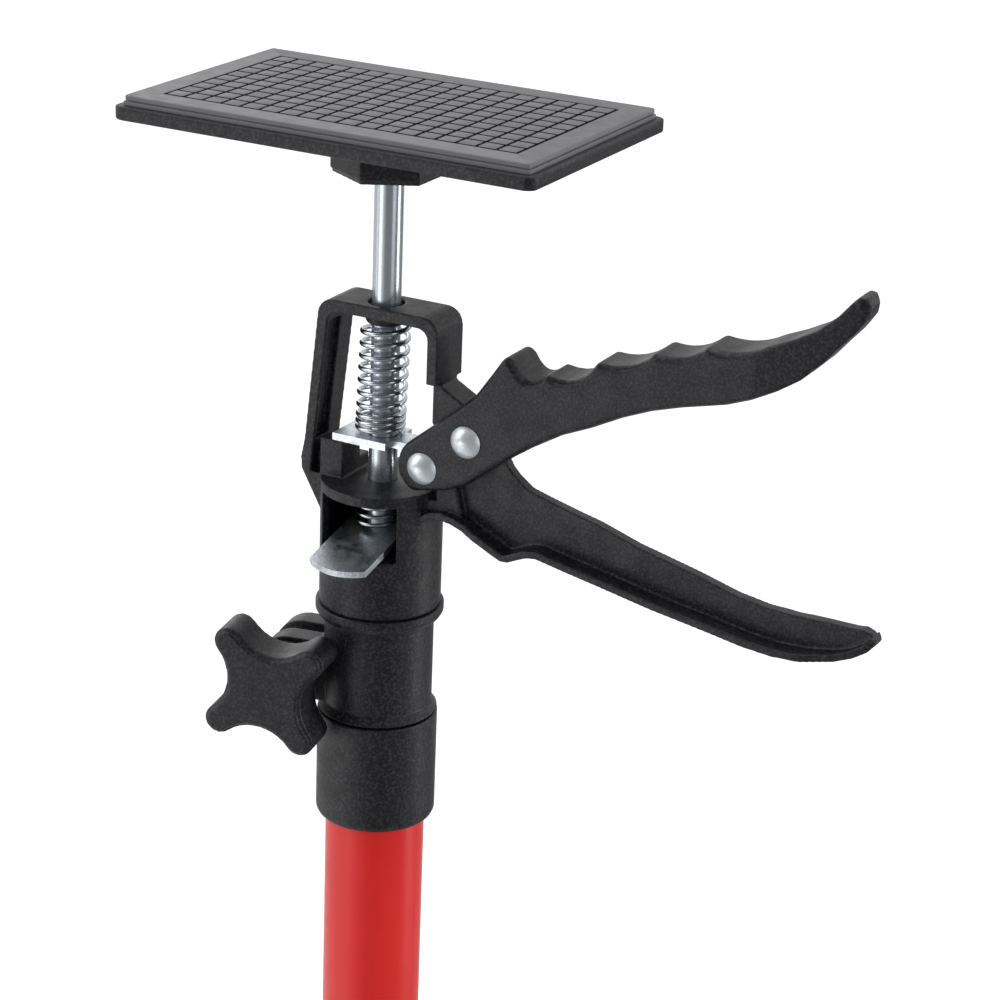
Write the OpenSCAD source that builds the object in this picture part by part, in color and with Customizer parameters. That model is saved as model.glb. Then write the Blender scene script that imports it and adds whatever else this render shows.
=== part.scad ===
// Telescopic support pole for holding drywall boards against a ceiling.
// Millimetres, +Z up. The origin is the centre of the sole's lower face, on the pole's axis.
// +X points along the squeeze handles, and -Y is the side of the release tab.

/* [Pole] */
// Height of the shortened pole, from the sole to the upper rubber
pole_h = 1150; // [1000:10:1500]
// Outer diameter of the outer tube
tube_d = 30; // [27:0.5:34]
// Wall of both tubes
tube_wall = 1.5; // [1:0.1:2]
// Room between the two tubes, on each side
telescope_room = 1; // [0.6:0.1:1.5]
// How far the inner tube stays above the foot plug when the pole is short
inner_tube_lift = 12; // [5:1:60]

/* [Pads] */
// Length of a pad's plate
plate_l = 131; // [110:1:160]
// Width of a pad's plate
plate_w = 81; // [70:1:100]
// Height of a pad's plate at its rim
plate_t = 4; // [3:0.1:5]
// Skin of the plate inside its rim
plate_skin = 2.2; // [1.6:0.1:2.8]
// Corner radius of the plate
plate_corner_r = 3.2; // [3:0.1:6]
// Ledge of the plate all round the rubber
rubber_ledge = 2.6; // [2:0.1:4]
// Thickness of the rubber
rubber_t = 2.7; // [2.2:0.1:4]
// Smooth border of the rubber around its blocks
rubber_border = 8; // [5:0.5:12]
// Blocks along the rubber
blocks_l = 18; // [10:1:24]
// Blocks across the rubber
blocks_w = 10; // [6:1:14]
// Width of the grooves between the blocks
groove_w = 0.7; // [0.5:0.1:1.2]
// Depth of the grooves
groove_t = 1; // [0.6:0.1:1.4]
// Width of the hexagonal hub across its flats
hub_af = 29; // [27:0.5:36]
// Height of the hub below the plate
hub_h = 13.5; // [12:0.5:18]

/* [Rod and ball joints] */
// Diameter of the push rod
rod_d = 8.4; // [7.5:0.1:9]
// Length of rod that shows between the yoke and the hub
rod_out = 37.5; // [20:0.5:60]
// How far the rod can still be pumped out
rod_stroke = 60; // [30:1:100]
// Diameter of the ball at each end
ball_d = 14; // [13:0.1:15]
// Radius of the spigot that holds a ball
spigot_r = 2.5; // [2:0.1:3]
// Length of the spigot inside the rod
spigot_l = 7.4; // [6:0.2:8]
// Length of the neck between the foot plug and the lower hub
foot_neck_l = 7; // [6:0.5:20]

/* [Head] */
// Height of the yoke above the partition
yoke_h = 53.5; // [50:0.5:62]
// Depth of the yoke from front to back
yoke_depth = 15; // [14:0.5:18]
// Left edge of the yoke's top, from the rod's axis
yoke_left = 18.4; // [16:0.2:20]
// Right edge of the yoke's top, from the rod's axis
yoke_right = 20.9; // [20:0.2:24]
// How much farther out the left column stands at its foot
column_splay = 5; // [2:0.2:7]
// Thickness of the yoke's columns
column_t = 3.3; // [2.8:0.1:4]
// Thickness of the yoke's top bar
bar_t = 3.5; // [3:0.1:5]
// Corner radius of the yoke
yoke_corner_r = 5; // [4:0.2:6]
// Height of the spring seat under the top bar
seat_h = 2.4; // [1.6:0.1:3.2]
// Wall of the barrel around the inner tube
barrel_wall = 5.5; // [4.5:0.1:6.5]
// Wall of the barrel around the release chamber
chamber_wall = 2.6; // [2:0.1:3.2]
// Thickness of the partition on top of the barrel
partition_t = 3; // [2.4:0.1:4]
// Height of the release chamber
chamber_h = 17; // [16:0.5:22]
// Floor below the release chamber
floor_t = 2.5; // [2:0.1:4]
// Depth of the inner tube in the barrel
socket_h = 15.5; // [12:0.5:24]
// Width of the window for the release tab
window_w = 24.6; // [23:0.2:26]

/* [Squeeze handles] */
// Lever pivot's distance from the rod's axis
pivot_x = 31.2; // [30:0.2:34]
// Height of the lever pivot above the partition
pivot_z = 19.7; // [18.6:0.1:22]
// Distance from the lever pivot to the nose rivet
nose_arm = 17.7; // [17:0.1:18.5]
// Angle of the nose arm below level
nose_angle = 38; // [36:0.5:40]
// Reach of the lever from its pivot to its tip
lever_reach = 115; // [95:1:135]
// Width of the lever
lever_w = 16; // [15.4:0.1:18]
// Thickness of the lever's cheeks
cheek_t = 3; // [2.4:0.1:3.2]
// Thickness of the lever's grip wall
grip_wall = 2.8; // [2:0.1:3.4]
// Reach of the fixed handle from the rod's axis to its tip
handle_reach = 155.5; // [130:0.5:180]
// Thickness of the fixed handle's web
web_t = 3.4; // [2.4:0.1:5]
// Thickness of the fixed handle's outer flange
flange_t = 2.2; // [1.6:0.1:3]
// Radius of the rivets' shanks
rivet_r = 2.5; // [2:0.1:2.8]
// Radius of the rivets' heads
rivet_head_r = 4.7; // [4:0.1:5.5]
// Height of the rivets' heads
rivet_head_h = 2.4; // [1.6:0.1:3]

/* [Drive and release] */
// Thickness of the drive plate
drive_t = 2.2; // [1.8:0.1:2.6]
// Width of the drive plate
drive_w = 15.4; // [14:0.2:16]
// Length of the drive plate left of the rod's axis
drive_left = 12.6; // [11:0.2:13.4]
// Thickness of the release plate
release_t = 2; // [1.6:0.1:2.4]
// Width of the release plate
release_w = 18.6; // [17:0.2:19.4]
// How far the release tab stands out in front of the rod's axis
release_reach = 28.6; // [24:0.2:32]
// Tilt of the release plate at rest
release_tilt = 13; // [10:0.5:14]
// Wire of the drive spring
drive_wire = 1.5; // [1.2:0.1:1.6]
// Outer diameter of the drive spring
drive_spring_d = 14.8; // [14:0.1:15.4]
// Wire of the release spring
release_wire = 1.1; // [0.9:0.1:1.2]
// Outer diameter of the release spring
release_spring_d = 16.6; // [15.4:0.1:17.2]

/* [Lock collar] */
// Height of the ring at the top of the collar
ring_h = 4; // [3:0.1:6]
// How far the ring stands out past the barrel
ring_lip = 1; // [0.4:0.1:2]
// Height of the clamping band
band_h = 31; // [29:0.5:40]
// Wall of the clamping band around the inner tube
band_wall = 3.7; // [3:0.1:5]
// Height of the cuff around the outer tube
cuff_h = 34.4; // [24:0.2:50]
// Wall of the cuff
cuff_wall = 3; // [2.2:0.1:4]
// Angle of the clamp's bolt from the front
clamp_turn = 10; // [0:1:40]
// Gap between the clamp's ears
ear_gap = 5.4; // [4:0.1:6]
// Thickness of each ear
ear_t = 7; // [6:0.1:8]
// Radius of the ears around the bolt
ear_r = 9.6; // [9.2:0.1:12]
// Distance from the band to the bolt's axis
bolt_standoff = 8.6; // [8:0.1:12]

/* [Knob] */
// Distance from the knob's axis to the tip of a lobe
knob_r = 22.4; // [19:0.2:24]
// Radius of a lobe's round tip
lobe_r = 4.4; // [3.6:0.1:5.4]
// Distance from the knob's axis to its waist
waist_r = 11.7; // [10.5:0.1:13]
// Thickness of the knob's star
star_t = 14.2; // [12:0.2:16]
// Angle that the knob is left at
knob_rest = 38.5; // [0:0.5:90]
// Radius of the clamp bolt
bolt_r = 4; // [3:0.1:4.4]

/* [Hidden] */

// Clearances
run_fit = 0.07;      // shaft that turns or slides in its hole
seat_fit = 0.02;     // piece that is pressed or glued in its seat
face_gap = 0.2;      // flat faces that move past each other
side_gap = 0.3;      // curved or side faces that move past each other
over = 1;            // overrun of every cut

// Facet counts of round shapes
$fn = 64;
wire_sides = 6;
rings_per_turn = 8;

// Heights of the stack, from the floor up
foot_plate_z = rubber_t;
foot_hub_top = rubber_t + plate_t + hub_h;
plug_z = foot_hub_top + foot_neck_l;
plug_flange_h = 6;
plug_body_h = 26;
tube_z = plug_z + plug_flange_h;
head_z = pole_h - rubber_t - plate_t - hub_h - rod_out - yoke_h;
barrel_h = partition_t + chamber_h + floor_t + socket_h;
collar_top = head_z - barrel_h - face_gap;
band_top = collar_top - ring_h;
cuff_top = band_top - band_h;
cuff_bottom = cuff_top - cuff_h;

// Radii of tubes and what goes round them
outer_r = tube_d / 2;
outer_bore = outer_r - tube_wall;
inner_r = outer_bore - telescope_room;
inner_bore = inner_r - tube_wall;
barrel_r = inner_r + barrel_wall;
chamber_r = barrel_r - chamber_wall;
ring_r = barrel_r + ring_lip;
band_r = inner_r + band_wall;
cuff_r = outer_r + cuff_wall;
rod_r = rod_d / 2;
ball_r = ball_d / 2;

// Ball joints
ball_depth = 7.6;                  // from a hub's open face to the ball's centre
ball_flat = 4.5;                   // from the ball's centre to the flat that meets the rod
socket_room = 0.15;
socket_ring_r = ball_r + 2.5;
socket_ring_h = ball_depth - 1;
seat_low = 3.7;                    // from the ball's centre to the lowest part of its seat
seat_low_r = 6.1;
mouth_r = 7.1;                     // radius of the ring's mouth
hub_round = 1.2;

// Plate and rubber
rubber_l = plate_l - 2 * rubber_ledge;
rubber_w = plate_w - 2 * rubber_ledge;
rubber_lip = 0.35;                 // how far the rubber's lower half stands out
rubber_seam = 0.4;                 // height and depth of the line between its halves
rubber_corner_r = 1;
rim_w = 2.4;
rib_t = 1.6;

// Yoke and partition
column_foot_z = 10;                // where the left column's straight part ends
gusset_z = -11;
knee_drop = 6;                     // height of the knee below the straight part
window_corner_r = 3.4;
bar_room = 1.1;                    // round the rod, in the sink on top of the yoke
bar_hole_r = rod_r + bar_room;
guide_r = rod_r + run_fit;
seat_top_r = 7.2;
seat_low_out = 5.6;
recess_in = 2.1;                   // depth of the recess inside the left column
recess_front = 1.5;                // front wall of that recess
column_end_z = 34;                 // lower end of the right column
hub_plate_w = 9.4;
nose_room = 0.7;                   // from the nose rivet to the hub plate
web_from = 3;                      // first point of the flange that the web reaches
flange_w = yoke_depth;
block_l = 7.8;
block_x = 9.1;

// Positions that the lever's pivot and nose give
function nose_x() = pivot_x - nose_arm * cos(nose_angle);
function nose_z() = pivot_z - nose_arm * sin(nose_angle);
drive_z = nose_z() + rivet_r + face_gap;
drive_top = drive_z + drive_t;
block_h = drive_z - side_gap;
tongue_x = 5;                      // where the drive plate narrows to its tongue
tongue_w = 8.4;
tongue_end = 19;
drive_room = 0.4;                  // round the rod, where the drive plate passes it
drive_hole_r = rod_r + drive_room;

// Springs
drive_turns = 10.1;
closed_turns = 3;
closed_gap = 0.5;
drive_lean = 1.2;                  // how far its lower end stands to the left
release_turns = 4.2;
spring_rest = 0.1;                 // gap between a wire and what it presses on

// Release plate
release_z = -13;
release_room = 0.7;                // round the rod, where the tilted release plate passes it
release_hole_r = rod_r + release_room;
tab_w = 10;
tab_back = 17.4;
tab_start = 13.2;
wide_back = 8;
tip_bow = 2;
slot_room = 0.6;

// Push rod
rod_top = rod_out + yoke_h + ball_depth - ball_flat;
stop_t = 1.2;
stop_room = 0.5;                   // left under the barrel's floor when the rod is all out
stop_r = 7;
stop_z = -(partition_t + chamber_h + floor_t) - rod_stroke - stop_room;
rod_tail = 5;

// Collar and clamp
flare_h = 2.5;                     // height of the slope from the cuff to the band
line_h = 0.8;                      // height of the slits
cuff_round = 1.7;
ring_ease = 1.6;
rib_w = 1.6;
bolt_x = -(band_r + bolt_standoff);
bolt_z = (band_top + cuff_top) / 2 - 3;
ear_front = -(ear_gap / 2 + ear_t);
nut_af = 13;
nut_t = 6.5;
nut_pocket = 5;
knob_neck = 6.6;                   // from the front ear to the star
knob_back = ear_front - knob_neck;
knob_hub_r = 8.5;
knob_edge = 1;
bolt_tail = 2.5;
bolt_in_knob = 9;

// Guide bush at the inner tube's lower end
inner_tube_z = tube_z + plug_body_h + inner_tube_lift;
guide_skirt = 12;
guide_plug = 10;
guide_wall = 1.6;

// Outlines as shares of the handles' reach, from the pivot for the lever
// Grip side of the lever: the horn, then each finger groove's end and its depth
horn_shares = [[-0.020, 0.088], [0.016, 0.122], [0.060, 0.186], [0.084, 0.223], [0.094, 0.233], [0.106, 0.232]];
groove_shares = [[0.120, 0.222], [0.207, 0.209, 0.030], [0.338, 0.266, 0.026], [0.485, 0.318, 0.018],
    [0.618, 0.359, 0.017], [0.765, 0.388, 0.014]];
tip_shares = [[0.820, 0.412], [0.877, 0.443], [0.920, 0.480], [0.952, 0.520], [0.966, 0.535], [0.985, 0.535],
    [0.998, 0.516]];
under_shares = [[0.994, 0.491], [0.963, 0.446], [0.929, 0.407], [0.896, 0.367], [0.847, 0.318], [0.792, 0.281],
    [0.734, 0.250], [0.673, 0.226], [0.561, 0.197], [0.485, 0.173], [0.410, 0.141], [0.332, 0.100],
    [0.254, 0.065], [0.176, 0.017], [0.123, -0.020], [0.043, -0.083], [0.002, -0.117], [-0.054, -0.143]];
lever_taper_share = 0.74;          // where the lever starts to narrow
lever_tip_w = 9;
lever_round = 1.6;
nose_r = 8.6;
// Roof of the lever's channel under the horn
roof_shares = [[-0.005, 0.174], [0.052, 0.135], [0.090, 0.181], [0.115, 0.183]];
roof_from = 2;                     // first point of the grooves that the channel's roof follows

// Fixed handle: the web's upper edge and the flange's lower edge
web_shares = [[0.170, 0.150], [0.262, 0.094], [0.271, 0.078], [0.287, 0.062], [0.312, 0.044], [0.352, 0.033],
    [0.413, 0.018], [0.453, 0.009], [0.533, -0.016], [0.573, -0.025], [0.651, -0.043], [0.729, -0.064],
    [0.787, -0.073], [0.843, -0.075], [0.899, -0.074], [0.953, -0.074], [0.972, -0.072], [0.986, -0.077],
    [0.992, -0.088]];
flange_shares = [[0.096, -0.096], [0.101, -0.070], [0.111, -0.052], [0.128, -0.042], [0.151, -0.038],
    [0.174, -0.042], [0.196, -0.050], [0.215, -0.062], [0.257, -0.082], [0.278, -0.091], [0.292, -0.090],
    [0.311, -0.081], [0.329, -0.073], [0.349, -0.070], [0.400, -0.080], [0.482, -0.095], [0.582, -0.114],
    [0.642, -0.123], [0.700, -0.132], [0.759, -0.142], [0.816, -0.147], [0.872, -0.145], [0.928, -0.135],
    [0.960, -0.123], [0.984, -0.108], [1.000, -0.090]];
handle_taper_share = 0.86;
handle_tip_w = 8;

// Helpers for outlines
function unit(v) = v / norm(v);
function side_of(a, b) = let(d = unit(b - a)) [-d.y, d.x];
function shifted(path, d) = [for (i = [0:len(path) - 1])
    path[i] + d * side_of(path[max(i - 1, 0)], path[min(i + 1, len(path) - 1)])];
function inset(path, d) = [for (i = [0:len(path) - 1])
    path[i] + d * side_of(path[(i + len(path) - 1) % len(path)], path[(i + 1) % len(path)])];
function reversed(path) = [for (i = [len(path) - 1:-1:0]) path[i]];
function arc(c, r, a, b, n) = [for (i = [0:n]) c + r * [cos(a + (b - a) * i / n), sin(a + (b - a) * i / n)]];
function bow(a, b, sag, n) = [for (i = [1:n]) let(s = i / n) a + (b - a) * s - 4 * s * (1 - s) * sag * side_of(a, b)];
function pivot() = [pivot_x, pivot_z];

// Extrudes an outline drawn in X and Z from y0 to y1
module along_y(y0, y1) {
    translate([0, y1, 0]) rotate([90, 0, 0]) linear_extrude(y1 - y0) children();
}

module rounded_rect(l, w, r) {
    square([l - 2 * r, w], center = true);
    square([l, w - 2 * r], center = true);
    for (x = [-1, 1], y = [-1, 1]) translate([x * (l / 2 - r), y * (w / 2 - r)]) circle(r);
}

// Plan of a handle that narrows to a round tip
module handle_plan(w, tip_w, taper_x, tip_x, z0, z1) {
    translate([0, 0, z0]) linear_extrude(z1 - z0) polygon(concat(
        [[-tip_x, -w / 2], [taper_x, -w / 2]],
        arc([tip_x - tip_w / 2, 0], tip_w / 2, -75, 75, 8),
        [[taper_x, w / 2], [-tip_x, w / 2]]));
}

// Wound springs
// A point of the coil: turns from its lower end, lower and upper centre, sideways lean and slope of its lower end
function coil_z(t, low, high, turns, closed, close_pitch) =
    let(open_pitch = (high - low - closed * close_pitch) / (turns - closed))
    t < closed ? low + t * close_pitch : low + closed * close_pitch + (t - closed) * open_pitch;
function coil_point(t, r, low, high, turns, closed, close_pitch, lean, slope) =
    let(a = 360 * t, z = coil_z(t, low, high, turns, closed, close_pitch), s = (high - z) / (high - low))
    [r * cos(a) - lean * s, r * sin(a), z + r * sin(a) * tan(slope) * s];
function coil_centres(n, r, low, high, turns, closed, close_pitch, lean, slope) =
    [for (i = [0:n]) coil_point(turns * i / n, r, low, high, turns, closed, close_pitch, lean, slope)];
function wire_ring(c, ahead, a, wire_r) =
    let(t = unit(ahead), out = [cos(a), sin(a), 0], n = unit(out - (out * t) * t), b = cross(t, n))
    [for (j = [0:wire_sides - 1]) c + wire_r * (cos(360 * j / wire_sides) * n + sin(360 * j / wire_sides) * b)];
function coil_gap(c, per_turn, wire_d) =
    min([for (i = [0:len(c) - 1], j = [i + floor(per_turn / 2):len(c) - 1]) if (j < len(c)) norm(c[i] - c[j])]) - wire_d;

module coil(r, wire_d, low, high, turns, closed, close_pitch, lean, slope, name) {
    n = round(turns * rings_per_turn);
    c = coil_centres(n, r, low, high, turns, closed, close_pitch, lean, slope);
    points = [for (i = [0:n]) each wire_ring(c[i], c[min(i + 1, n)] - c[max(i - 1, 0)], 360 * turns * i / n, wire_d / 2)];
    sides = [for (i = [0:n - 1], j = [0:wire_sides - 1]) let(a = i * wire_sides + j,
        b = i * wire_sides + (j + 1) % wire_sides) each [[a, b, a + wire_sides], [b, b + wire_sides, a + wire_sides]]];
    first = [for (j = [1:wire_sides - 2]) [0, j + 1, j]];
    last = [for (j = [1:wire_sides - 2]) [n * wire_sides, n * wire_sides + j, n * wire_sides + j + 1]];
    echo(spring = name, turns = turns, least_gap_mm = coil_gap(c, rings_per_turn, wire_d));
    polyhedron(points, concat(sides, first, last));
}

// A pad, drawn as the upper one: the plate's upper face is at z = 0 and the hub hangs below it
module pad_plate_solid() {
    difference() {
        union() {
            difference() {
                translate([0, 0, -plate_t]) linear_extrude(plate_t) rounded_rect(plate_l, plate_w, plate_corner_r);
                translate([0, 0, -plate_t - over]) linear_extrude(plate_t - plate_skin + over)
                    rounded_rect(plate_l - 2 * rim_w, plate_w - 2 * rim_w, plate_corner_r - rim_w / 2);
            }
            // ribs from the hub to the rim
            for (x = [-1, 1]) translate([x * plate_l / 6, 0, -plate_t / 2])
                cube([rib_t, plate_w - 2 * rim_w, plate_t], center = true);
            for (x = [-1, 0, 1]) translate([0, x * plate_w / 4, -plate_t / 2])
                cube([plate_l - 2 * rim_w, rib_t, plate_t], center = true);
            for (x = [-1, 1]) translate([x * plate_l / 3, 0, -plate_t / 2])
                cube([rib_t, plate_w - 2 * rim_w, plate_t], center = true);
            // hexagonal hub with an eased lower edge
            translate([0, 0, -plate_t - hub_h + hub_round]) rotate(30) cylinder(r = hub_af / sqrt(3), h = hub_h + plate_t - hub_round, $fn = 6);
            translate([0, 0, -plate_t - hub_h]) rotate(30) cylinder(r = (hub_af - hub_round) / sqrt(3), h = hub_h, $fn = 6);
        }
        translate([0, 0, -plate_t - hub_h + ball_depth]) sphere(ball_r + socket_room);
        translate([0, 0, -plate_t - hub_h - over]) cylinder(r = ball_r + socket_room, h = ball_depth + over);
        translate([0, 0, -plate_t - hub_h - over]) cylinder(r = socket_ring_r + seat_fit, h = socket_ring_h + over);
    }
}

module pad_rubber_solid() {
    cell_l = (rubber_l - 2 * rubber_border) / blocks_l;
    cell_w = (rubber_w - 2 * rubber_border) / blocks_w;
    grid_l = cell_l * blocks_l;
    grid_w = cell_w * blocks_w;
    half = rubber_t * 0.4;
    difference() {
        union() {
            linear_extrude(half) rounded_rect(rubber_l + 2 * rubber_lip, rubber_w + 2 * rubber_lip, rubber_corner_r);
            linear_extrude(half + rubber_seam) rounded_rect(rubber_l - 2 * rubber_seam, rubber_w - 2 * rubber_seam, rubber_corner_r);
            translate([0, 0, half + rubber_seam]) linear_extrude(rubber_t - half - rubber_seam)
                rounded_rect(rubber_l, rubber_w, rubber_corner_r);
        }
        for (i = [0:blocks_l]) translate([i * cell_l - grid_l / 2, 0, rubber_t])
            cube([groove_w, grid_w + groove_w, 2 * groove_t], center = true);
        for (i = [0:blocks_w]) translate([0, i * cell_w - grid_w / 2, rubber_t])
            cube([grid_l + groove_w, groove_w, 2 * groove_t], center = true);
    }
}

// Ring that keeps a ball in its hub, with the hub's open face at z = 0
module socket_ring_solid() {
    difference() {
        cylinder(r = socket_ring_r, h = socket_ring_h);
        translate([0, 0, ball_depth]) sphere(ball_r + socket_room);
        translate([0, 0, -over]) cylinder(r1 = mouth_r + over * (mouth_r - seat_low_r) / (ball_depth - seat_low),
            r2 = seat_low_r, h = ball_depth - seat_low + over);
    }
}

// Ball with its flat, centred on the ball
module ball_solid() {
    intersection() {
        sphere(ball_r);
        translate([-ball_d, -ball_d, -ball_flat]) cube([2 * ball_d, 2 * ball_d, 2 * ball_d]);
    }
}

module as_foot() {
    translate([0, 0, rubber_t]) mirror([0, 0, 1]) children();
}

module as_pad() {
    translate([0, 0, pole_h - rubber_t]) children();
}

module foot_rubber() {
    color("dimgray") as_foot() pad_rubber_solid();
}

module foot_plate() {
    color("black") as_foot() pad_plate_solid();
}

module foot_socket_ring() {
    color("black") as_foot() translate([0, 0, -plate_t - hub_h]) socket_ring_solid();
}

module foot_ball() {
    color("silver") as_foot() translate([0, 0, -plate_t - hub_h]) {
        translate([0, 0, ball_depth]) ball_solid();
        translate([0, 0, -foot_neck_l]) cylinder(r = rod_r, h = foot_neck_l + ball_depth - ball_flat + over);
        translate([0, 0, -foot_neck_l - spigot_l]) cylinder(r = spigot_r, h = spigot_l + over);
    }
}

module foot_plug() {
    color("black") difference() {
        union() {
            translate([0, 0, plug_z]) cylinder(r1 = outer_r, r2 = cuff_r, h = plug_flange_h / 2);
            translate([0, 0, plug_z + plug_flange_h / 2]) cylinder(r = cuff_r, h = plug_flange_h / 2);
            translate([0, 0, tube_z]) cylinder(r = outer_bore - seat_fit, h = plug_body_h);
        }
        translate([0, 0, plug_z - over]) cylinder(r = spigot_r + run_fit, h = spigot_l + 2 * over);
        translate([0, 0, plug_z + spigot_l + 2 * tube_wall]) cylinder(r = inner_bore - tube_wall, h = plug_body_h + plug_flange_h);
    }
}

module outer_tube() {
    color("red") difference() {
        translate([0, 0, tube_z]) cylinder(r = outer_r, h = cuff_top - face_gap - tube_z);
        translate([0, 0, tube_z - over]) cylinder(r = outer_bore, h = cuff_top - tube_z + 2 * over);
    }
}

// The lock collar is drawn with its bolt along -Y and then turned
module clamp_frame() {
    rotate(clamp_turn) children();
}

module ear(y0) {
    along_y(y0, y0 + ear_t) {
        translate([bolt_x, bolt_z]) circle(ear_r);
        translate([bolt_x, bolt_z - ear_r]) square([-bolt_x - inner_r - run_fit, 2 * ear_r]);
    }
}

// Half section of the collar, from the cuff's lower edge up to the ring
function collar_profile() = let(line_top = cuff_top + line_h) [
    [0, cuff_bottom], [cuff_r - cuff_round, cuff_bottom], [cuff_r - cuff_round / 3, cuff_bottom + cuff_round / 3],
    [cuff_r, cuff_bottom + cuff_round], [cuff_r, cuff_top], [band_r, cuff_top], [band_r, line_top],
    [cuff_r, line_top], [band_r, line_top + flare_h], [band_r, band_top], [ring_r - ring_lip, band_top],
    [ring_r, band_top + ring_ease], [ring_r, collar_top], [0, collar_top]];

module lock_collar() {
    color([0.12, 0.12, 0.13]) clamp_frame() difference() {
        union() {
            rotate_extrude() polygon(collar_profile());
            for (a = [50, 180]) rotate(a) translate([0, -rib_w / 2, cuff_top]) cube([band_r + rib_w / 2, rib_w, band_h]);
            ear(ear_front);
            ear(ear_gap / 2);
        }
        // bores for the two tubes
        translate([0, 0, cuff_bottom - over]) cylinder(r = inner_r + run_fit, h = collar_top - cuff_bottom + 2 * over);
        translate([0, 0, cuff_bottom - over]) cylinder(r = outer_r + seat_fit, h = cuff_h + over);
        // the split, and the slits that free the clamping band from the ring and the cuff
        translate([2 * bolt_x, -ear_gap / 2, cuff_top + line_h]) cube([-2 * bolt_x - inner_r / 2, ear_gap, band_h - line_h]);
        for (z = [cuff_top, band_top - line_h]) translate([-2 * band_r, -2 * band_r, z])
            cube([2 * band_r - inner_r / 3, 4 * band_r, line_h]);
        // bolt hole and nut pocket
        translate([bolt_x, 0, bolt_z]) rotate([90, 0, 0]) cylinder(r = bolt_r + side_gap, h = 4 * ear_t, center = true);
        translate([bolt_x, -ear_front - nut_pocket, bolt_z]) rotate([-90, 0, 0])
            cylinder(r = (nut_af + 2 * side_gap) / sqrt(3), h = nut_pocket + over, $fn = 6);
    }
}

module clamp_nut() {
    color("silver") clamp_frame() translate([bolt_x, -ear_front - nut_pocket + seat_fit, bolt_z]) rotate([-90, 0, 0]) difference() {
        cylinder(r = nut_af / sqrt(3), h = nut_t, $fn = 6);
        translate([0, 0, -over]) cylinder(r = bolt_r + run_fit, h = nut_t + 2 * over);
    }
}

// Outline of a four-lobed star: round lobe tips joined by hollow sides that touch them smoothly
function star(tip, lobe, waist) =
    let(c = tip - lobe,
        far = (c * c - (lobe - waist) * (lobe - waist)) / (2 * (c * cos(45) + lobe - waist)),
        hollow = far * [cos(45), sin(45)],
        turn = atan2(hollow.y, hollow.x - c),
        side = arc(hollow, far - waist, turn + 180, 270 - turn, 10))
    [for (k = [0:3], p = concat(arc([c, 0], lobe, -turn, turn, 12), [for (i = [1:len(side) - 2]) side[i]]))
        [p.x * cos(90 * k) - p.y * sin(90 * k), p.x * sin(90 * k) + p.y * cos(90 * k)]];

module knob_frame() {
    clamp_frame() translate([bolt_x, 0, bolt_z]) children();
}

module clamp_knob() {
    color([0.15, 0.15, 0.16]) knob_frame() difference() {
        union() {
            along_y(knob_back - star_t + knob_edge, knob_back - knob_edge) rotate(knob_rest) polygon(star(knob_r, lobe_r, waist_r));
            along_y(knob_back - star_t, knob_back) rotate(knob_rest)
                polygon(star(knob_r - knob_edge, lobe_r - knob_edge, waist_r - knob_edge));
            along_y(knob_back - over, ear_front - face_gap) circle(knob_hub_r);
        }
        along_y(knob_back - bolt_in_knob, over) circle(bolt_r + seat_fit);
    }
}

module knob_stud() {
    color("silver") knob_frame()
        along_y(knob_back - bolt_in_knob + seat_fit, -ear_front - nut_pocket + nut_t + bolt_tail) circle(bolt_r);
}

module inner_tube() {
    top = head_z - partition_t - chamber_h - floor_t - face_gap;
    color("gainsboro") difference() {
        translate([0, 0, inner_tube_z]) cylinder(r = inner_r, h = top - inner_tube_z);
        translate([0, 0, inner_tube_z - over]) cylinder(r = inner_bore, h = top - inner_tube_z + 2 * over);
    }
}

module tube_guide() {
    color("black") difference() {
        union() {
            translate([0, 0, inner_tube_z - guide_wall]) cylinder(r = outer_bore - run_fit, h = guide_wall);
            translate([0, 0, inner_tube_z - guide_wall]) cylinder(r = outer_bore - run_fit, h = guide_skirt + guide_wall);
        }
        translate([0, 0, inner_tube_z - seat_fit]) cylinder(r = inner_r + seat_fit, h = guide_skirt + over);
        translate([0, 0, inner_tube_z - guide_wall - over]) cylinder(r = inner_bore - guide_wall, h = guide_plug);
    }
}

// Outer outline of the yoke in X and Z
function yoke_outline() = concat(
    arc([-yoke_left + yoke_corner_r, yoke_h - yoke_corner_r], yoke_corner_r, 90, 175, 5),
    [[-yoke_left - column_splay * 0.76, column_foot_z], [-yoke_left - column_splay, column_foot_z - knee_drop],
        [-yoke_left - column_splay + 0.3, 0.5], [-barrel_r * 0.92, gusset_z], [-barrel_r / 2, gusset_z],
        [-barrel_r / 2, 0], [-yoke_left - column_splay + column_t, 0],
        [-yoke_left - column_splay * 0.76 + column_t * 0.93, column_foot_z]],
    arc([-yoke_left + column_t + window_corner_r, yoke_h - bar_t - window_corner_r], window_corner_r, 175, 90, 5),
    arc([yoke_right - column_t - window_corner_r, yoke_h - bar_t - window_corner_r], window_corner_r, 90, 0, 5),
    [[yoke_right - column_t, column_end_z], [yoke_right, column_end_z]],
    arc([yoke_right - yoke_corner_r, yoke_h - yoke_corner_r], yoke_corner_r, 0, 90, 5));

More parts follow.
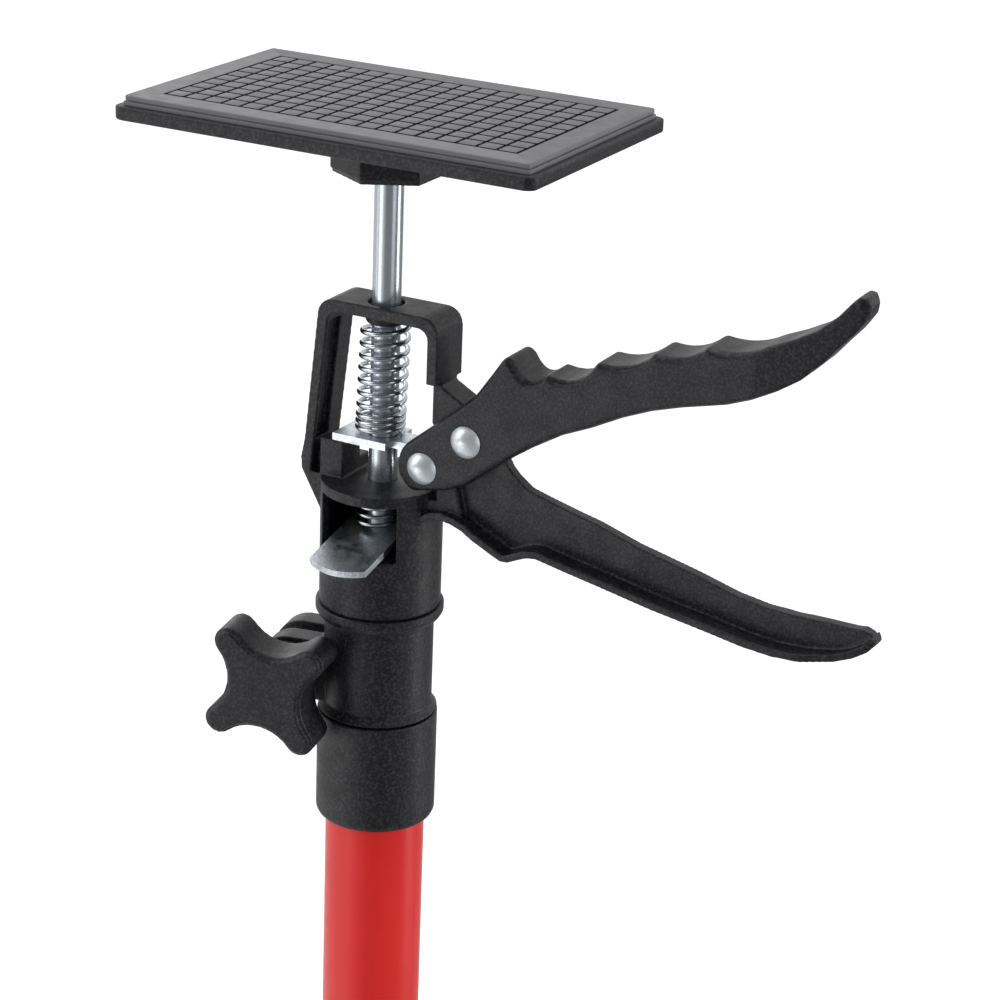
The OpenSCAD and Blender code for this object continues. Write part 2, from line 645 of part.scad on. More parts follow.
// Plate between the lever's cheeks that carries the pivot
function hub_left() = nose_x() + rivet_r + nose_room;
function hub_outline() = [
    [yoke_right - column_t + 0.7, column_end_z + column_t], [yoke_right, column_end_z + column_t],
    [yoke_right + 0.2, column_end_z - 0.8], [pivot_x - 3, pivot_z + 9.6], [pivot_x + 3, pivot_z + 9],
    [pivot_x + 7.6, pivot_z + 5], [pivot_x + 8.6, pivot_z - 2], [pivot_x + 4, pivot_z - 10],
    [pivot_x - 4.4, pivot_z - 15.8], [pivot_x - 2.4, pivot_z - 23.6], [barrel_r + 6, pivot_z - 26],
    [barrel_r / 2, pivot_z - 26], [barrel_r / 2, -partition_t / 2], [hub_left(), -partition_t / 2],
    [hub_left(), nose_z() + 11], [yoke_right - column_t + 0.7, nose_z() + 13]];

module fixed_handle() {
    r = handle_reach;
    web = [for (p = web_shares) p * r];
    flange = [for (p = flange_shares) p * r];
    web_foot = [for (i = [web_from:len(flange) - 1]) flange[i]];
    intersection() {
        union() {
            along_y(-web_t / 2, web_t / 2) polygon(concat(web, reversed(shifted(web_foot, flange_t / 2)),
                [[hub_left(), 0], [hub_left(), web[0].y]]));
            along_y(-flange_w / 2, flange_w / 2) polygon(concat(flange, reversed(shifted(flange, flange_t))));
        }
        handle_plan(flange_w, handle_tip_w, handle_taper_share * r, r, -r, r);
    }
}

module head_body() {
    recess = [[-yoke_left + column_t, yoke_h - bar_t - window_corner_r],
        [-yoke_left - column_splay * 0.76 + column_t * 0.93, column_foot_z]];
    color([0.1, 0.1, 0.11]) translate([0, 0, head_z]) difference() {
        union() {
            translate([0, 0, -barrel_h]) cylinder(r = barrel_r, h = barrel_h);
            along_y(-yoke_depth / 2, yoke_depth / 2) polygon(yoke_outline());
            translate([0, 0, yoke_h - bar_t - seat_h]) cylinder(r1 = seat_low_out, r2 = seat_top_r, h = seat_h + bar_t / 2);
            along_y(-hub_plate_w / 2, hub_plate_w / 2) polygon(hub_outline());
            fixed_handle();
            // block that the drive plate's left end rests on
            translate([-block_x - block_l, -yoke_depth / 2, -partition_t / 2]) cube([block_l, yoke_depth * 0.66, block_h + partition_t / 2]);
            translate([-yoke_left - column_splay + column_t / 2, -yoke_depth / 4, -partition_t / 2])
                cube([yoke_left + column_splay - column_t / 2 - block_x - block_l + over, yoke_depth / 3, block_h * 0.7]);
            translate([-block_x - block_l / 2, 0, -partition_t / 2]) cube([block_l / 2, yoke_depth / 2, block_h / 2]);
        }
        // release chamber, its window and the slot behind it
        translate([0, 0, -partition_t - chamber_h]) cylinder(r = chamber_r, h = chamber_h);
        translate([-window_w / 2, -2 * barrel_r, -partition_t - chamber_h]) cube([window_w, 2 * barrel_r, chamber_h]);
        translate([-tab_w / 2 - side_gap, chamber_r - 2 * over, slot_z() - slot_room - release_t / 2])
            cube([tab_w + 2 * side_gap, barrel_r, release_t + 2 * slot_room]);
        // socket of the inner tube, and the guides of the rod
        translate([0, 0, -barrel_h - over]) cylinder(r = inner_r + seat_fit, h = socket_h + over);
        translate([0, 0, -barrel_h]) cylinder(r = guide_r, h = barrel_h + over);
        translate([0, 0, yoke_h - bar_t - seat_h - over]) cylinder(r = rod_r + side_gap, h = bar_t + seat_h + 2 * over);
        translate([0, 0, yoke_h - bar_t / 2]) cylinder(r = bar_hole_r, h = bar_t);
        // pivot hole
        translate([pivot_x, 0, pivot_z]) rotate([90, 0, 0]) cylinder(r = rivet_r + seat_fit, h = 2 * yoke_depth, center = true);
        // recess inside the left column
        along_y(-yoke_depth / 2 + recess_front, 0.5) polygon(concat(
            [for (p = recess) p + [over, 0]], reversed([for (p = recess) p - [recess_in, 0]])));
    }
}

function slot_z() = release_z + (tab_back - 1) * sin(release_tilt) - release_t / 2 * cos(release_tilt);

// Rivet with a domed head at both ends, along Y through the origin
module rivet(grip) {
    dome_r = (rivet_head_r * rivet_head_r + rivet_head_h * rivet_head_h) / (2 * rivet_head_h);
    rotate([90, 0, 0]) {
        cylinder(r = rivet_r, h = grip, center = true);
        for (s = [0, 1]) mirror([0, 0, s]) intersection() {
            translate([0, 0, grip / 2 + rivet_head_h - dome_r]) sphere(dome_r);
            translate([0, 0, grip / 2]) cylinder(r = 2 * rivet_head_r, h = 2 * rivet_head_h);
        }
    }
}

module pivot_rivet() {
    color("gainsboro") translate([pivot_x, 0, head_z + pivot_z]) rivet(lever_w + 2 * face_gap);
}

module nose_rivet() {
    color("gainsboro") translate([nose_x(), 0, head_z + nose_z()]) rivet(lever_w + 2 * seat_fit);
}

function on_lever(shares) = [for (p = shares) pivot() + lever_reach * p];
function grooves() = concat(on_lever([groove_shares[0]]),
    [for (i = [1:len(groove_shares) - 1]) let(a = groove_shares[i - 1], b = groove_shares[i])
        each bow(pivot() + lever_reach * [a.x, a.y], pivot() + lever_reach * [b.x, b.y], lever_reach * b.z, 6)]);
function lever_outline() = concat(
    arc([nose_x(), nose_z()], nose_r, -112, -228, 8),
    on_lever(horn_shares), grooves(), on_lever(tip_shares), on_lever(under_shares));
function lever_channel() =
    let(g = grooves(), roof = shifted([for (i = [roof_from:len(g) - 1]) g[i]], -grip_wall),
        start = on_lever(roof_shares), end = roof[len(roof) - 1])
    concat([[-pivot_x, -pivot_x], [-pivot_x, start[0].y]], start, roof,
        [[end.x + grip_wall, end.y - lever_w], [end.x + grip_wall, -pivot_x]]);

module lever() {
    o = lever_outline();
    color([0.1, 0.1, 0.11]) translate([0, 0, head_z]) difference() {
        intersection() {
            union() {
                along_y(-lever_w / 2 + lever_round, lever_w / 2 - lever_round) polygon(o);
                along_y(-lever_w / 2 + lever_round / 3, lever_w / 2 - lever_round / 3) polygon(inset(o, -lever_round * 0.3));
                along_y(-lever_w / 2, lever_w / 2) polygon(inset(o, -lever_round * 0.7));
            }
            handle_plan(lever_w, lever_tip_w, pivot_x + lever_taper_share * lever_reach, pivot_x + 1.005 * lever_reach,
                -lever_reach, lever_reach);
        }
        along_y(-lever_w / 2 + cheek_t, lever_w / 2 - cheek_t) polygon(lever_channel());
        translate([pivot_x, 0, pivot_z]) rotate([90, 0, 0]) cylinder(r = rivet_r + run_fit, h = 2 * lever_w, center = true);
        translate([nose_x(), 0, nose_z()]) rotate([90, 0, 0]) cylinder(r = rivet_r + seat_fit, h = 2 * lever_w, center = true);
    }
}

module drive_plate() {
    color("silver") translate([0, 0, head_z + drive_z]) linear_extrude(drive_t) difference() {
        union() {
            translate([-drive_left, -drive_w / 2]) square([drive_left + tongue_x, drive_w]);
            translate([0, -tongue_w / 2]) square([tongue_end, tongue_w]);
        }
        circle(drive_hole_r);
    }
}

module drive_spring() {
    low = drive_top + drive_wire / 2 + spring_rest;
    high = yoke_h - bar_t - seat_h - drive_wire / 2 - spring_rest;
    color("gainsboro") translate([0, 0, head_z])
        coil((drive_spring_d - drive_wire) / 2, drive_wire, low, high, drive_turns, closed_turns,
            drive_wire + closed_gap, drive_lean, 0, "drive_spring");
}

// Outline of the release plate, seen from above, before it is tilted
module release_outline() {
    w = release_w / 2;
    c = 3;
    difference() {
        polygon(concat(
            [[w, -release_reach + c], [w, wide_back], [tab_w / 2, tab_start], [tab_w / 2, tab_back],
                [-tab_w / 2, tab_back], [-tab_w / 2, tab_start], [-w, wide_back], [-w, -release_reach + c]],
            [for (i = [0:8]) let(s = i / 4 - 1) [s * (w - c / 2), -release_reach + tip_bow * s * s]]));
        translate([0, -release_t / 2 * tan(release_tilt)]) circle(release_hole_r);
    }
}

module release_plate() {
    color("silver") translate([0, 0, head_z + release_z]) rotate([release_tilt, 0, 0])
        translate([0, 0, -release_t]) linear_extrude(release_t) release_outline();
}

module release_spring() {
    r = (release_spring_d - release_wire) / 2;
    low = release_z + release_wire / 2 / cos(release_tilt) + spring_rest;
    high = -partition_t - release_wire / 2 - spring_rest;
    color("gainsboro") translate([0, 0, head_z])
        coil(r, release_wire, low, high, release_turns, 0, 0, 0, release_tilt, "release_spring");
}

module push_rod() {
    color("gainsboro") translate([0, 0, head_z]) difference() {
        translate([0, 0, stop_z - stop_t - rod_tail]) cylinder(r = rod_r, h = rod_top - stop_z + stop_t + rod_tail);
        translate([0, 0, rod_top - spigot_l]) cylinder(r = spigot_r + run_fit, h = spigot_l + over);
    }
}

module rod_stop() {
    color("dimgray") translate([0, 0, head_z + stop_z - stop_t]) difference() {
        cylinder(r = stop_r, h = stop_t);
        translate([0, 0, -over]) cylinder(r = rod_r + seat_fit, h = stop_t + 2 * over);
    }
}

module pad_ball() {
    color("silver") translate([0, 0, head_z + rod_top + ball_flat]) {
        ball_solid();
        translate([0, 0, -ball_flat - spigot_l + face_gap]) cylinder(r = spigot_r, h = spigot_l);
    }
}

module pad_socket_ring() {
    color("black") as_pad() translate([0, 0, -plate_t - hub_h]) socket_ring_solid();
}

module pad_plate() {
    color([0.12, 0.12, 0.13]) as_pad() pad_plate_solid();
}

module pad_rubber() {
    color("dimgray") as_pad() pad_rubber_solid();
}

foot_rubber();
foot_plate();
foot_socket_ring();
foot_ball();
foot_plug();
outer_tube();
lock_collar();
clamp_nut();
clamp_knob();
knob_stud();
inner_tube();
tube_guide();
head_body();
pivot_rivet();
lever();
nose_rivet();
drive_plate();
drive_spring();
release_plate();
release_spring();
push_rod();
rod_stop();
pad_ball();
pad_socket_ring();
pad_plate();
pad_rubber();
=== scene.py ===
"""Telescopic support pole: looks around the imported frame. Metres, +Z up, origin under the foot pad."""
import math

import bmesh
import bpy
from mathutils import Matrix, Vector


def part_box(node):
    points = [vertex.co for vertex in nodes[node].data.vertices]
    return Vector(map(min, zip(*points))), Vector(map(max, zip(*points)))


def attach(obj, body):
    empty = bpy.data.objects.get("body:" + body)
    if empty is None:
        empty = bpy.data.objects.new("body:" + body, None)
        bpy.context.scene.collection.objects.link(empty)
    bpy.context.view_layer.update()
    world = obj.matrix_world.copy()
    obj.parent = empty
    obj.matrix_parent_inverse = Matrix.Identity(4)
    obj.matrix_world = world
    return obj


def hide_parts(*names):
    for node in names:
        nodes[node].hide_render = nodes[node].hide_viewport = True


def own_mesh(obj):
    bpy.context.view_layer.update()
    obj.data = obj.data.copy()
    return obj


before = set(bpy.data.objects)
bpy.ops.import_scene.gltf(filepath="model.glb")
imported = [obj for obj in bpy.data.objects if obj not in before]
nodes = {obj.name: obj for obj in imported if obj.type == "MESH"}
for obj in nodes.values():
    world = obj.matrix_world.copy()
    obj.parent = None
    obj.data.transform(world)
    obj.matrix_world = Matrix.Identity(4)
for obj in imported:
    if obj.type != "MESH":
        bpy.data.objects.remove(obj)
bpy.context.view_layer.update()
MM = 0.001

# Camera, placed from the top face of the barrel's partition, in millimetres and degrees
HEAD_Z = 1038.8
CAMERA_MM = (377.5, -655.9, 290.5)
CAMERA_YAW = 27.32
CAMERA_PITCH = 21.39
CAMERA_ROLL = 2.29
LENS_MM = 100.28
SENSOR_MM = 36
CLIP_NEAR = 0.01
CLIP_FAR = 100

# Lights: name, place, aim, size and watts
HEAD_AIM = (0.03, 0, 1.05)
POLE_AIM = (0, 0, 0.95)
LOW_AIM = (0, 0, 0.8)
LIGHTS = (
    ("key", (-1.3, -0.9, 2.0), HEAD_AIM, (1.0, 1.4), 8),
    ("fill", (1.7, -0.5, 1.3), HEAD_AIM, (0.9, 1.6), 4),
    ("side_left", (-1.9, -0.95, 0.75), POLE_AIM, (0.4, 1.5), 1.5),
    ("side_right", (1.9, 1.0, 0.75), POLE_AIM, (0.5, 1.5), 11),
    ("back_left", (-1.3, 1.2, 1.7), HEAD_AIM, (0.8, 1.6), 4),
    ("top", (0.2, 0.3, 2.6), HEAD_AIM, (1.4, 1.0), 6),
    ("low_left", (-0.9, -1.5, 0.55), LOW_AIM, (0.8, 0.8), 3),
)

# Room. A pair is a value at both ends of a span along a fixed way, for glossy rays.
WHITE = (1, 1, 1, 1)
ROOM_FRONT = (0.46, -0.86, -0.2)
FRONT_SPAN = (-0.25, 0.7)
SKY_LIT = 0.42
SKY_GLOSSY = (0.78, 0.1)
SKY_SEEN = 1.0
FLOOR_HALF = 12
FLOOR_WAY = (1, 0, 0)
FLOOR_SPAN = (-0.8, 0.8)
FLOOR_COLOUR = 0.8
FLOOR_GLOSSY = (0.8, 0.38)
FLOOR_ROUGH = 0.9
FLOOR_SPECULAR = 0.1
GLOW_LIT = 0.0
GLOW_GLOSSY = (0.3, 0.0)
GLOW_SEEN = 0.75

# Noise keeps almost wholly within this range
NOISE_LOW = 0.3
NOISE_HIGH = 0.7

# Range of pointiness over which an edge goes from its own colour to a paler one
PALE_EDGE_FROM = 0.52
PALE_EDGE_TO = 0.62

# Centres of the mould's ejector pins on the head, in X and Z from the partition, in millimetres
PINS = ((18.0, 51.4), (-12.5, 7.6), (24.9, 28.5), (44.7, -3.5), (138.2, -14.8))
PIN_R = 3.3
PIN_LINE = 0.2

# Moulded pieces: node, body, voxel in millimetres, rounds of smoothing, share of the faces kept
MOULDINGS = (
    ("head_body", "head", 0.32, 3, 0.3),
    ("lever", "lever", 0.36, 18, 0.3),
    ("lock_collar", "pole", 0.3, 2, 0.3),
    ("clamp_knob", "knob", 0.34, 9, 0.4),
    ("pad_plate", "pad", 0.42, 4, 0.35),
    ("foot_plate", "foot", 0.42, 4, 0.35),
)
WELD = 0.002 * MM
SMOOTHING = 0.5

# Rubber soles. MIDWAY is a height between the foot and the upper pad, and LEDGE a share of the thickness.
BLOCKS_L, BLOCKS_W = 18, 10
BORDER = 8.0 * MM
GROOVE = 0.9 * MM
GROOVE_DEEP = 1.0 * MM
LIP = 0.35 * MM
SEAM = 0.4 * MM
CORNER = 1.0 * MM
CORNER_STEPS = 4
EDGE = 0.13 * MM
RIM_INSET = 0.3
LEDGE = 0.4
MIDWAY = 0.5
STEEP = 0.5
SOLE_CREASE = 40

# Spring wire, in millimetres and degrees
DRIVE_WIRE_R = 0.75
RELEASE_WIRE_R = 0.55
WIRE_SIDES = 12
WIRE_CREASE = 50
PER_TURN = 36


def camera():
    yaw, pitch, roll = (math.radians(a) for a in (CAMERA_YAW, CAMERA_PITCH, CAMERA_ROLL))
    back = Vector((math.sin(yaw) * math.cos(pitch), -math.cos(yaw) * math.cos(pitch), math.sin(pitch)))
    level = Vector((math.cos(yaw), math.sin(yaw), 0))
    rise = back.cross(level)
    right = level * math.cos(roll) + rise * math.sin(roll)
    up = rise * math.cos(roll) - level * math.sin(roll)
    data = bpy.data.cameras.new("camera")
    data.lens = LENS_MM
    data.sensor_width = SENSOR_MM
    data.clip_start = CLIP_NEAR
    data.clip_end = CLIP_FAR
    obj = new_object("camera", data)
    place = Matrix((right, up, back)).transposed().to_4x4()
    place.translation = (Vector(CAMERA_MM) + Vector((0, 0, HEAD_Z))) * MM
    obj.matrix_world = place
    bpy.context.scene.camera = obj


def new_object(name, data):
    obj = bpy.data.objects.new(name, data)
    bpy.context.collection.objects.link(obj)
    return obj


# Lights and stage
def area_light(name, place, target, size, power):
    data = bpy.data.lights.new(name, "AREA")
    data.shape = "RECTANGLE"
    data.size, data.size_y = size
    data.energy = power
    way = Vector(place) - Vector(target)
    turn = way.to_track_quat("Z", "Y").to_matrix().to_4x4()
    new_object(name, data).matrix_world = Matrix.Translation(place) @ turn


def link(tree, start, end):
    tree.links.new(start, end)


def chosen(tree, mask, off, on):
    """Mixes two values or sockets by a mask."""
    node = tree.nodes.new("ShaderNodeMix")
    link(tree, mask, node.inputs["Factor"])
    for socket, value in ((node.inputs["A"], off), (node.inputs["B"], on)):
        if isinstance(value, (int, float)):
            socket.default_value = value
        else:
            link(tree, value, socket)
    return node.outputs["Result"]


def by_ray(tree, lit, glossy, seen):
    """A strength for diffuse rays, one for glossy rays, and one for camera and transmission rays."""
    path = tree.nodes.new("ShaderNodeLightPath")
    direct = tree.nodes.new("ShaderNodeMath")
    direct.operation = "MAXIMUM"
    link(tree, path.outputs["Is Camera Ray"], direct.inputs[0])
    link(tree, path.outputs["Is Transmission Ray"], direct.inputs[1])
    return chosen(tree, direct.outputs[0], chosen(tree, path.outputs["Is Glossy Ray"], lit, glossy), seen)


def fade(tree, coordinate, way, span, ends):
    """A value that changes smoothly along a fixed way of the room."""
    where = tree.nodes.new("ShaderNodeTexCoord")
    dot = tree.nodes.new("ShaderNodeVectorMath")
    dot.operation = "DOT_PRODUCT"
    dot.inputs[1].default_value = way
    link(tree, where.outputs[coordinate], dot.inputs[0])
    node = tree.nodes.new("ShaderNodeMapRange")
    node.interpolation_type = "SMOOTHSTEP"
    for name, number in zip(("From Min", "From Max", "To Min", "To Max"), (*span, *ends)):
        node.inputs[name].default_value = number
    link(tree, dot.outputs["Value"], node.inputs["Value"])
    return node.outputs["Result"]


def sky():
    world = bpy.data.worlds.new("world")
    bpy.context.scene.world = world
    world.use_nodes = True
    tree = world.node_tree
    background = tree.nodes["Background"]
    background.inputs["Color"].default_value = WHITE
    dim_front = fade(tree, "Generated", ROOM_FRONT, FRONT_SPAN, SKY_GLOSSY)
    link(tree, by_ray(tree, SKY_LIT, dim_front, SKY_SEEN), background.inputs["Strength"])


def floor_material():
    mat = bpy.data.materials.new("floor_white")
    mat.use_nodes = True
    tree = mat.node_tree
    shader = tree.nodes["Principled BSDF"]
    shader.inputs["Roughness"].default_value = FLOOR_ROUGH
    shader.inputs["Specular IOR Level"].default_value = FLOOR_SPECULAR
    glow = tree.nodes.new("ShaderNodeEmission")
    glow.inputs["Color"].default_value = WHITE
    glow_fade = fade(tree, "Object", FLOOR_WAY, FLOOR_SPAN, GLOW_GLOSSY)
    link(tree, by_ray(tree, GLOW_LIT, glow_fade, GLOW_SEEN), glow.inputs["Strength"])
    path = tree.nodes.new("ShaderNodeLightPath")
    dim_right = fade(tree, "Object", FLOOR_WAY, FLOOR_SPAN, FLOOR_GLOSSY)
    colour = chosen(tree, path.outputs["Is Glossy Ray"], FLOOR_COLOUR, dim_right)
    link(tree, colour, shader.inputs["Base Color"])
    add = tree.nodes.new("ShaderNodeAddShader")
    link(tree, shader.outputs[0], add.inputs[0])
    link(tree, glow.outputs[0], add.inputs[1])
    link(tree, add.outputs[0], tree.nodes["Material Output"].inputs[0])
    return mat


def stage():
    sky()
    h = FLOOR_HALF
    mesh = bpy.data.meshes.new("floor")
    mesh.from_pydata([(-h, -h, 0), (h, -h, 0), (h, h, 0), (-h, h, 0)], [], [(0, 1, 2, 3)])
    mesh.materials.append(floor_material())
    floor = new_object("floor", mesh)
    for light in LIGHTS:
        area_light(*light)


# Materials
def material(name, base, roughness, metallic=0.0):
    mat = bpy.data.materials.new(name)
    mat.use_nodes = True
    shader = mat.node_tree.nodes["Principled BSDF"]
    shader.inputs["Base Color"].default_value = (*base, 1)
    shader.inputs["Roughness"].default_value = roughness
    shader.inputs["Metallic"].default_value = metallic
    return mat


def noise(mat, waves, detail, stretch=(1, 1, 1)):
    """Noise over the object's own coordinates, in waves per metre."""
    tree = mat.node_tree
    where = tree.nodes.new("ShaderNodeTexCoord")
    place = tree.nodes.new("ShaderNodeMapping")
    place.inputs["Scale"].default_value = stretch
    tex = tree.nodes.new("ShaderNodeTexNoise")
    tex.inputs["Scale"].default_value = waves
    tex.inputs["Detail"].default_value = detail
    link(tree, where.outputs["Object"], place.inputs["Vector"])
    link(tree, place.outputs[0], tex.inputs["Vector"])
    return tex.outputs["Fac"]


def ramp(mat, value, low, high):
    """A colour between two stops, each given as a place and a colour."""
    node = mat.node_tree.nodes.new("ShaderNodeValToRGB")
    link(mat.node_tree, value, node.inputs[0])
    for mark, (place, colour) in zip(node.color_ramp.elements, (low, high)):
        mark.position = place
        mark.color = (*colour, 1)
    return node.outputs["Color"]


def spread(mat, value, low, high, start=NOISE_LOW, end=NOISE_HIGH):
    """Maps a value's range from start to end onto low to high."""
    node = mat.node_tree.nodes.new("ShaderNodeMapRange")
    for name, number in (("From Min", start), ("From Max", end), ("To Min", low), ("To Max", high)):
        node.inputs[name].default_value = number
    link(mat.node_tree, value, node.inputs["Value"])
    return node.outputs["Result"]


def bump(mat, height, strength, depth, under=None):
    """A bump with its depth in millimetres, laid over another one if given."""
    node = mat.node_tree.nodes.new("ShaderNodeBump")
    node.inputs["Strength"].default_value = strength
    node.inputs["Distance"].default_value = depth * MM
    link(mat.node_tree, height, node.inputs["Height"])
    if under is not None:
        link(mat.node_tree, under, node.inputs["Normal"])
    return node.outputs["Normal"]


def feed(mat, socket, value):
    link(mat.node_tree, value, mat.node_tree.nodes["Principled BSDF"].inputs[socket])


def pale_edge_colour(mat, value, edge):
    """Mixes a lighter colour into the sharp edges of a dense mesh."""
    tree = mat.node_tree
    shape = tree.nodes.new("ShaderNodeNewGeometry")
    mask = spread(mat, shape.outputs["Pointiness"], 0, 1, PALE_EDGE_FROM, PALE_EDGE_TO)
    blend = tree.nodes.new("ShaderNodeMix")
    blend.data_type = "RGBA"
    # a mix node's colour sockets are its inputs 6 and 7 and its output 2
    link(tree, mask, blend.inputs["Factor"])
    link(tree, value, blend.inputs[6])
    blend.inputs[7].default_value = (*edge, 1)
    return blend.outputs[2]


def pin_rings(mat):
    """Thin rings that the ejector pins leave on the front and back faces."""
    tree = mat.node_tree
    where = tree.nodes.new("ShaderNodeTexCoord")
    rings = None
    for x, z in PINS:
        offset = tree.nodes.new("ShaderNodeMapping")
        offset.inputs["Location"].default_value = (-x * MM, 0, -(HEAD_Z + z) * MM)
        flat = tree.nodes.new("ShaderNodeVectorMath")
        flat.operation = "MULTIPLY"
        flat.inputs[1].default_value = (1, 0, 1)
        far = tree.nodes.new("ShaderNodeVectorMath")
        far.operation = "LENGTH"
        ring = tree.nodes.new("ShaderNodeMath")
        ring.operation = "COMPARE"
        ring.inputs[1].default_value = PIN_R * MM
        ring.inputs[2].default_value = PIN_LINE * MM
        link(tree, where.outputs["Object"], offset.inputs["Vector"])
        link(tree, offset.outputs[0], flat.inputs[0])
        link(tree, flat.outputs[0], far.inputs[0])
        link(tree, far.outputs["Value"], ring.inputs[0])
        if rings is None:
            rings = ring.outputs[0]
            continue
        both = tree.nodes.new("ShaderNodeMath")
        both.operation = "MAXIMUM"
        link(tree, rings, both.inputs[0])
        link(tree, ring.outputs[0], both.inputs[1])
        rings = both.outputs[0]
    return rings


def black_plastic(name, pins=False):
    mat = material(name, base=(0.012, 0.0115, 0.015), roughness=0.42)
    specks = noise(mat, waves=1250, detail=3)
    body = ramp(mat, specks, low=(0.46, (0.003, 0.0028, 0.006)), high=(0.66, (0.036, 0.034, 0.041)))
    feed(mat, "Base Color", pale_edge_colour(mat, body, edge=(0.030, 0.029, 0.035)))
    sheen = noise(mat, waves=160, detail=4)
    feed(mat, "Roughness", spread(mat, sheen, low=0.40, high=0.54))
    normal = bump(mat, noise(mat, waves=320, detail=2), strength=0.10, depth=0.4)
    if pins:
        normal = bump(mat, pin_rings(mat), strength=1.0, depth=0.4, under=normal)
    normal = bump(mat, specks, strength=0.35, depth=0.15, under=normal)
    grain = noise(mat, waves=2600, detail=3)
    feed(mat, "Normal", bump(mat, grain, strength=0.5, depth=0.12, under=normal))
    return mat


def rubber(name, low, high, edge):
    mat = material(name, base=high, roughness=0.6)
    clouds = noise(mat, waves=70, detail=5)
    body = ramp(mat, clouds, low=(NOISE_LOW, low), high=(NOISE_HIGH, high))
    feed(mat, "Base Color", pale_edge_colour(mat, body, edge))
    sheen = noise(mat, waves=220, detail=4)
    feed(mat, "Roughness", spread(mat, sheen, low=0.48, high=0.68))
    grain = noise(mat, waves=3200, detail=3)
    feed(mat, "Normal", bump(mat, grain, strength=0.3, depth=0.15))
    return mat


def zinc(name, rough, tone=(0.79, 0.84, 0.89), coarse=500, stretch=(1, 1, 1), spotted=0.9, metallic=1.0):
    """Zinc plate, with rough as its range of roughness and spotted as the share of tone in its darker spots."""
    mat = material(name, base=tone, roughness=rough[1], metallic=metallic)
    spots = noise(mat, waves=1400, detail=3)
    dull = tuple(c * spotted for c in tone)
    feed(mat, "Base Color", ramp(mat, spots, low=(0.32, dull), high=(0.62, tone)))
    lines = noise(mat, waves=coarse, detail=4, stretch=stretch)
    feed(mat, "Roughness", spread(mat, lines, *rough))
    fine = bump(mat, noise(mat, waves=1500, detail=3), strength=1.0, depth=0.006)
    feed(mat, "Normal", bump(mat, lines, strength=1.0, depth=0.008, under=fine))
    return mat


def red_paint():
    mat = material("red_paint", base=(0.92, 0.008, 0.005), roughness=0.34)
    shader = mat.node_tree.nodes["Principled BSDF"]
    shader.inputs["Coat Weight"].default_value = 0.2
    shader.inputs["Coat Roughness"].default_value = 0.29
    clouds = noise(mat, waves=30, detail=3)
    body = ramp(mat, clouds, low=(NOISE_LOW, (0.88, 0.007, 0.004)), high=(NOISE_HIGH, (0.95, 0.009, 0.006)))
    feed(mat, "Base Color", body)
    feed(mat, "Roughness", spread(mat, noise(mat, waves=200, detail=3), low=0.29, high=0.38))
    feed(mat, "Normal", bump(mat, noise(mat, waves=420, detail=1), strength=1.0, depth=0.006))
    return mat


PLASTIC = black_plastic("black_plastic")
HEAD_PLASTIC = black_plastic("head_plastic", pins=True)
RUBBER = rubber("rubber", low=(0.152, 0.148, 0.160), high=(0.176, 0.171, 0.185), edge=(0.24, 0.234, 0.25))
# near-black rubber for the grooves' floor and walls: painted shade, not the rubber's own colour
GROOVE_PAINTED_SHADE = rubber("groove_painted_shade", low=(0.006,) * 3, high=(0.009,) * 3, edge=(0.02,) * 3)
ROD_ZINC = zinc("rod_zinc", rough=(0.20, 0.268), tone=(0.65, 0.70, 0.77), coarse=900, stretch=(1, 1, 0.02),
                metallic=0.82)
PLATE_ZINC = zinc("plate_zinc", rough=(0.29, 0.44), spotted=0.7)
WIRE_ZINC = zinc("wire_zinc", rough=(0.14, 0.26), tone=(0.60, 0.63, 0.67))
RIVET_ZINC = zinc("rivet_zinc", rough=(0.29, 0.38), tone=(0.88, 0.93, 0.97), metallic=0.55)
RED = red_paint()


def dress(node, mat):
    """Gives a carried-over node its finish."""
    obj = nodes[node]
    obj.data.materials.clear()
    obj.data.materials.append(mat)
    for slot in obj.material_slots:
        slot.material = mat


def finish_piece(obj, mat, body, node):
    obj.data.materials.clear()
    obj.data.materials.append(mat)
    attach(obj, body)
    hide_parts(node)


# Meshes
def apply_modifiers(obj):
    bpy.context.view_layer.update()
    graph = bpy.context.evaluated_depsgraph_get()
    mesh = bpy.data.meshes.new_from_object(obj.evaluated_get(graph))
    obj.modifiers.clear()
    obj.data = mesh


def smooth_by_angle(obj, degrees):
    """Smooth shading with sharp edges past an angle."""
    build = bmesh.new()
    build.from_mesh(obj.data)
    limit = math.radians(degrees)
    for edge in build.edges:
        edge.smooth = len(edge.link_faces) == 2 and edge.calc_face_angle(0) < limit
    for face in build.faces:
        face.smooth = True
    build.to_mesh(obj.data)
    build.free()


def skin(name, rings, closed=False, flip=False):
    """A mesh over a stack of equal loops, capped at both ends or closed on itself."""
    size = len(rings[0])
    total = size * len(rings)
    faces = []
    for r in range(len(rings) if closed else len(rings) - 1):
        for i in range(size):
            a, b = r * size + i, r * size + (i + 1) % size
            face = (a, b, (b + size) % total, (a + size) % total)
            faces.append(face[::-1] if flip else face)
    if not closed:
        faces.append(tuple(reversed(range(size))))
        faces.append(tuple(range(total - size, total)))
    mesh = bpy.data.meshes.new(name)
    mesh.from_pydata([v for ring in rings for v in ring], [], faces)
    return mesh


def join(name, meshes):
    """One object from several meshes."""
    build = bmesh.new()
    for mesh in meshes:
        build.from_mesh(mesh)
    whole = bpy.data.meshes.new(name)
    build.to_mesh(whole)
    build.free()
    return new_object(name, whole)


